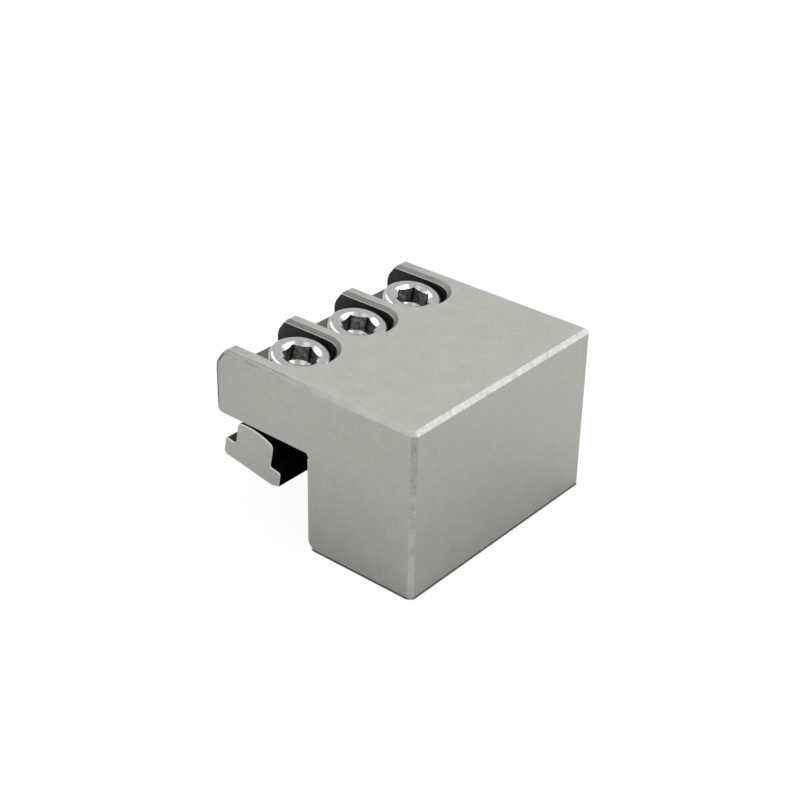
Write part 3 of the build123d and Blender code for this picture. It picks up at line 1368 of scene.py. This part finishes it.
@dataclass
class CapScrew:
    """A socket head cap screw, with its hex socket and its rolled thread."""

    thread_radius: float = 3.0
    pitch: float = 1.0
    length: float = 12.0
    head_radius: float = 5.0
    head_height: float = 5.7
    head_edge_round: Break = Break(0.9, 8)
    head_rim_break: Break = Break(0.2)
    neck_length: float = 1.3
    neck_round: Break = Break(0.25, 4)
    tip_chamfer: float = 0.7
    flats_radius: float = 2.5
    socket_depth: float = 3.0
    point_angle: float = radians(120)
    mouth_radius: float = 3.325
    mouth_angle: float = radians(120)
    chisel_share: float = 0.06
    # The thread's depth and crest as shares of its pitch, and its flanks' angle
    thread_share: float = 0.59
    crest_share: float = 0.125
    flank_angle: float = radians(30)
    thread_steps: int = 48
    # How many turns are rolled beyond the length, and how close they must come to be merged
    extra_turns: int = 3
    seam: float = 0.001
    # How far inside the thread's radius its crests and the neck lie, and how far outside the blank
    thread_relief: float = 0.02
    neck_relief: float = 0.1
    blank_clearance: float = 0.2
    # How far below the head's seat the thread starts
    thread_start: float = 0.91
    stoned_break: Break = Break(0.05, 2)
    # How far an edge may turn and still be left as it is
    sharpest: float = radians(22)
    # How far the normal of a socket's wall may rise or fall
    wall_tilt: float = 0.3
    overrun: float = 0.5
    piece: bpy.types.Object = field(init=False)

    def __post_init__(self) -> None:
        """Work out the socket's floor and corners, and the floor of its mouth."""
        self.floor = self.head_height - self.socket_depth
        self.corner_radius = self.flats_radius / cos(pi / 6)
        mouth_depth = (self.mouth_radius - self.flats_radius) / tan(self.mouth_angle / 2)
        self.mouth_floor = self.head_height - mouth_depth

    def build(self) -> bpy.types.Object:
        """Model and dress one screw upright, with the middle of its seat at the origin.

        Returns:
            The screw, in millimetres.
        """
        self.piece = self._turned_head()
        carve(self.piece, self._rolled_thread(), Carving.JOIN)
        for tool in (self._mouth_tool(), self._hex_tool(), self._drill_tool()):
            carve(self.piece, tool)
        self._dress()
        in_socket = joins(lambda p: p.z > self.head_height - self.socket_depth / 2)
        with Bench(self.piece) as bench:
            bench.bevel(
                self.stoned_break, lambda e: in_socket(e) and stands_out(e, self.sharpest)
            )
            bench.face_outwards()
        places = self.piece.data.attributes.new(BENCH_PLACE, "FLOAT_VECTOR", "POINT")
        for vertex, place in zip(self.piece.data.vertices, places.data):
            place.vector = vertex.co
        return self.piece

    def _turned_head(self) -> bpy.types.Object:
        """Turn the head with its rounded edge, and draw the neck out below it.

        Returns:
            The head and neck as one body.
        """
        neck_radius = self.thread_radius - self.neck_relief
        root_radius = neck_radius + self.neck_round.width
        head = turn_cylinder("cap_head", self.head_radius, 0.0, self.head_height)
        with Bench(head) as bench:
            bench.bevel(self.head_edge_round, joins(at(z=self.head_height)))
            bench.bevel(self.head_rim_break, joins(at(z=0.0)))
            bench.pick(Grip.FACE, lambda face: face.normal.z < -NEARLY_SQUARE)
            sole_radius = self.head_radius - self.head_rim_break.width
            bpy.ops.mesh.inset(thickness=sole_radius - neck_radius)
            bench.extrude((0, 0, -self.neck_length))
            bench.bevel(
                self.neck_round, joins(lambda p: near(p.z, 0.0) and p.xy.length < root_radius)
            )
        return head

    def _rolled_thread(self) -> bpy.types.Object:
        """Roll the thread: one turn's profile, drawn along its helix, sawn off and chamfered.

        Returns:
            The threaded shank, closed at both ends.
        """
        depth = self.thread_share * self.pitch
        flank = depth * tan(self.flank_angle)
        crest = self.crest_share * self.pitch
        root = self.pitch - crest - 2 * flank
        root_radius = self.thread_radius - self.thread_relief - depth
        start = Vector((root_radius, 0, -self.length - 2 * self.pitch))
        thread = add_blank("rolled_thread", bpy.ops.mesh.primitive_plane_add, size=1.0)
        with Bench(thread) as bench:
            bench.pick(Grip.VERTEX, lambda vertex: min(vertex.co.xy) < 0)
            bpy.ops.mesh.delete(type="VERT")
            bench.pick(Grip.VERTEX, lambda vertex: True)
            # The plane's corner that is left stands half a unit out along X and Y
            bpy.ops.transform.translate(value=start - Vector((0.5, 0.5, 0)))
            for outwards, upwards in ((depth, flank), (0, crest), (-depth, flank), (0, root)):
                bench.extrude((outwards, 0, upwards))
        modify(
            thread, "SCREW", screw_offset=self.pitch, steps=self.thread_steps,
            iterations=round(self.length / self.pitch) + self.extra_turns,
            render_steps=self.thread_steps, use_merge_vertices=True, merge_threshold=self.seam,
        )
        with Bench(thread) as bench:
            bench.saw((0, 0, -self.length - self.overrun), (0, 0, -1))
            bench.saw((0, 0, -self.thread_start), (0, 0, 1))
            bench.face_outwards()
        blank_radius = self.thread_radius + self.blank_clearance
        blank = turn_cylinder("shank_blank", blank_radius, -self.length, self.overrun)
        with Bench(blank) as bench:
            tip = Break(self.tip_chamfer + self.blank_clearance)
            bench.bevel(tip, joins(at(z=-self.length)))
        carve(thread, blank, Carving.TRIM)
        return thread

    def _mouth_tool(self) -> bpy.types.Object:
        """Make the cone that opens the socket's mouth.

        Returns:
            The cone, point down, reaching past the head's top.
        """
        slope = tan(self.mouth_angle / 2)
        top_radius = self.mouth_radius + self.overrun * slope
        depth = top_radius / slope
        return add_blank(
            "mouth_tool", bpy.ops.mesh.primitive_cone_add, vertices=FINE_ROUND,
            radius1=0.0, radius2=top_radius, depth=depth,
            location=(0, 0, self.head_height + self.overrun - depth / 2),
        )

    def _hex_tool(self) -> bpy.types.Object:
        """Make the hexagonal punch of the socket."""
        top = self.head_height + self.overrun
        return turn_cylinder("hex_tool", self.corner_radius, self.floor, top, steps=6)

    def _drill_tool(self) -> bpy.types.Object:
        """Make the drill whose point shows in the socket's floor.

        Returns:
            A short cylinder that narrows to its chisel edge, just clear of the socket's flats.
        """
        radius = self.flats_radius - 2 * SLACK
        depth = radius * (1 - self.chisel_share) / tan(self.point_angle / 2)
        drill = turn_cylinder("drill_tool", radius, self.floor, self.floor + self.overrun)
        with Bench(drill) as bench:
            bench.draw_out((0, 0, -depth))
            bench.spread(self.chisel_share)
            bench.face_outwards()
        return drill

    def _dress(self) -> None:
        """Give every region its material, and every face its region's."""
        ScrewRegion.paint(self.piece)
        for face in self.piece.data.polygons:
            height = face.center.z
            inside = face.center.xy.length < self.corner_radius + SLACK and height > self.floor
            is_wall = abs(face.normal.z) < self.wall_tilt or height < self.mouth_floor
            if height < -SLACK:
                face.material_index = ScrewRegion.THREAD.slot
            elif inside and is_wall:
                face.material_index = ScrewRegion.SOCKET.slot

    def copy(self, name: str) -> bpy.types.Object:
        """Copy the screw, with a mesh of its own.

        Args:
            name: what the copy is called.

        Returns:
            The copy.
        """
        copy = self.piece.copy()
        copy.data = self.piece.data.copy()
        copy.name = copy.data.name = name
        bpy.context.scene.collection.objects.link(copy)
        return copy


@dataclass(frozen=True)
class SoftBox:
    """A lamp that faces the object. Its brightness is 1 where white paper is white."""

    name: str
    direction: Place
    distance: float
    length: float
    width: float
    brightness: float
    # Which way the lamp's length runs
    lengthwise: Place = (0.55, -0.67, 0.5)

    def hang(self, aim: Vector) -> None:
        """Hang the lamp.

        Args:
            aim: the point that it faces.
        """
        towards = Vector(self.direction).normalized()
        sideways = towards.cross(Vector(self.lengthwise)).normalized()
        facing = Matrix((sideways.cross(towards), sideways, towards)).transposed().to_euler()
        place = aim + towards * self.distance
        bpy.ops.object.select_all(action="DESELECT")
        bpy.ops.object.light_add(type="AREA", location=place, rotation=facing)
        lamp = bpy.context.active_object
        lamp.name = self.name
        lamp.data.shape = "RECTANGLE"
        lamp.data.size = self.length
        lamp.data.size_y = self.width
        lamp.data.energy = self.brightness * pi * self.length * self.width


@dataclass
class Studio:
    """The white floor, the pale room, and the lamps."""

    floor_size: float = 4.0
    floor_colour: Colour = (0.8, 0.8, 0.8)
    # How much of the floor's shading the camera sees, and how white the rest glows
    floor_tint: Colour = (0.09, 0.09, 0.09)
    floor_glow: float = 0.93
    mirrored_glow: float = 0.03
    # Painted contact shadow: a dark line where the object meets the floor, and a wider painted
    # shade round it, which the camera sees only in reflections
    contact_reach: float = 0.5
    contact_range: Range = (0.5, 0.8)
    shade_reach: float = 30.0
    shade_range: Range = (0.5, 1.0)
    shade_floor: float = 0.78
    occlusion_rays: int = 8
    # How bright the room is to the eye, and as a source of light
    room_for_eye: float = 1.0
    room_for_light: float = 0.75
    aim: Place = (0.0, 0.0, 0.015)
    soft_boxes: tuple[SoftBox, ...] = (
        SoftBox("box_behind_right", (0.38, 0.60, 0.70), 0.6, 0.5, 0.36, brightness=1.9),
        SoftBox("box_left", (-0.68, -0.04, 0.72), 0.6, 0.44, 0.24, brightness=2.6),
        SoftBox("box_above", (0.1, -0.5, 1.0), 0.8, 0.5, 0.5, brightness=0.8),
    )

    def set_up(self) -> None:
        """Lay the floor, light the room and hang the lamps."""
        floor = add_blank("studio_floor", bpy.ops.mesh.primitive_plane_add, size=self.floor_size)
        floor.data.materials.append(self._floor_paper())
        self._light_room()
        for soft_box in self.soft_boxes:
            soft_box.hang(Vector(self.aim))

    def _open_share(self, recipe: Recipe, reach: float, source: Range, result: Range) -> Socket:
        """Work out how open the floor lies under the object.

        Args:
            recipe: the recipe that asks.
            reach: how far away something still covers a point, in millimetres.
            source: the range that the openness is read in.
            result: the range that it is brought to.

        Returns:
            The result.
        """
        feeds = {"Distance": reach * METRES_PER_MM}
        node = recipe.step("AmbientOcclusion", feeds, samples=self.occlusion_rays)
        return recipe.reshape(node.outputs["AO"], source, result)

    def _floor_paper(self) -> bpy.types.Material:
        """Make the floor's paper, which shows white but still takes the object's shadow.

        Returns:
            The material.
        """
        recipe = Recipe.of_material("floor_paper")
        rays = recipe.step("LightPath").outputs
        eye = rays["Is Camera Ray"]
        mirrored = recipe.sum_up("MAXIMUM", rays["Is Glossy Ray"], rays["Is Transmission Ray"])
        # Painted contact shadow and painted shade, from how open the floor lies
        open_share = self._open_share(recipe, self.contact_reach, self.contact_range, UNIT)
        shade = (self.shade_floor, 1.0)
        lit_share = self._open_share(recipe, self.shade_reach, self.shade_range, shade)
        mirrored_paper = recipe.blend(lit_share, BLACK, self.floor_colour)
        seen_glow = recipe.sum_up("MULTIPLY", eye, self.floor_glow)
        glow = recipe.sum_up("MULTIPLY_ADD", mirrored, self.mirrored_glow, seen_glow)
        return recipe.finish({
            "Metallic": 0.0,
            "Roughness": 1.0,
            "Specular IOR Level": 0.0,
            "Base Color": recipe.blend(eye, mirrored_paper, self.floor_tint),
            "Emission Color": WHITE,
            "Emission Strength": recipe.sum_up("MULTIPLY", glow, open_share),
        })

    def _light_room(self) -> None:
        """Make the room white to the eye, and dimmer as a source of light."""
        world = bpy.data.worlds.new("studio_room")
        bpy.context.scene.world = world
        recipe = Recipe(world, "Background")
        rays = recipe.step("LightPath").outputs
        seen = rays["Is Camera Ray"]
        for ray in ("Is Glossy Ray", "Is Transmission Ray"):
            seen = recipe.sum_up("MAXIMUM", seen, rays[ray])
        level = recipe.reshape(seen, UNIT, (self.room_for_light, self.room_for_eye))
        recipe.finish({"Color": WHITE, "Strength": level})


@dataclass
class PhotoCamera:
    """The camera at the photograph's viewing angle. Angles in degrees, lengths in millimetres."""

    azimuth: float = 39.365
    elevation: float = 29.844
    roll: float = 1.225
    lens: float = 74.67
    sensor_width: float = 36.0
    nearest: float = 10.0
    distance: float = 264.98
    aim: Place = (0.0, -2.0, 15.0)
    slide_right: float = 0.612
    slide_up: float = 3.020

    def set_up(self) -> None:
        """Add the camera and make it the scene's own."""
        turn, climb, roll = radians(self.azimuth), radians(self.elevation), radians(self.roll)
        back = Vector((sin(turn) * cos(climb), -cos(turn) * cos(climb), sin(climb)))
        level_right = Vector((cos(turn), sin(turn), 0.0))
        level_up = back.cross(level_right)
        right = level_right * cos(roll) + level_up * sin(roll)
        up = level_up * cos(roll) - level_right * sin(roll)
        place = Vector(self.aim) + right * self.slide_right + up * self.slide_up
        place += back * self.distance
        facing = Matrix((right, up, back)).transposed().to_4x4()
        bpy.ops.object.select_all(action="DESELECT")
        bpy.ops.object.camera_add()
        camera = bpy.context.active_object
        camera.name = "photo_camera"
        camera.matrix_world = Matrix.Translation(place * METRES_PER_MM) @ facing
        camera.data.lens = self.lens
        camera.data.sensor_width = self.sensor_width
        camera.data.clip_start = self.nearest * METRES_PER_MM
        bpy.context.scene.camera = camera


def main() -> None:
    """Build and dress every piece round the frame, then set the stage and the camera."""
    logging.basicConfig(level=logging.INFO, format="%(message)s")
    hinges = [joint for joint in frame["joints"] if joint["type"] == "hinge"]
    hinges.sort(key=lambda joint: joint["pos_m"][1])
    stations = [Station.from_joint(number, joint) for number, joint in enumerate(hinges, start=1)]
    low, high = (corner / METRES_PER_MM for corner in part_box("jaw_block"))

    sizes = JawBlock(low, high, stations)
    jaw = sizes.build()
    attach(jaw, "jaw")
    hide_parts("jaw_block")
    report.info("%s: %d faces", jaw.name, len(jaw.data.polygons))

    below_seat = sizes.crown_below_seat(ClampBar.gap, ClampBar.dome_radius)
    bar = ClampBar(stations, high.y - low.y, below_seat).build()
    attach(bar, "clamp_bar")
    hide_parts("clamp_bar")
    report.info("%s: %d faces", bar.name, len(bar.data.polygons))

    pattern = CapScrew()
    first = pattern.build()
    screws = [pattern.copy(f"socket_screw_{station.number}") for station in stations]
    bpy.data.objects.remove(first, do_unlink=True)
    for station, screw, turn in zip(stations, screws, SOCKET_TURNS):
        station.set_in_place(screw, radians(turn - HEXAGON_START))
        finish_off(screw)
        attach(screw, station.body)
        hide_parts(f"cap_screw_{station.number}")
        report.info("%s: %d faces", screw.name, len(screw.data.polygons))

    Studio().set_up()
    PhotoCamera().set_up()
    bpy.context.scene.view_settings.view_transform = "Standard"


if __name__ == "__main__":
    main()
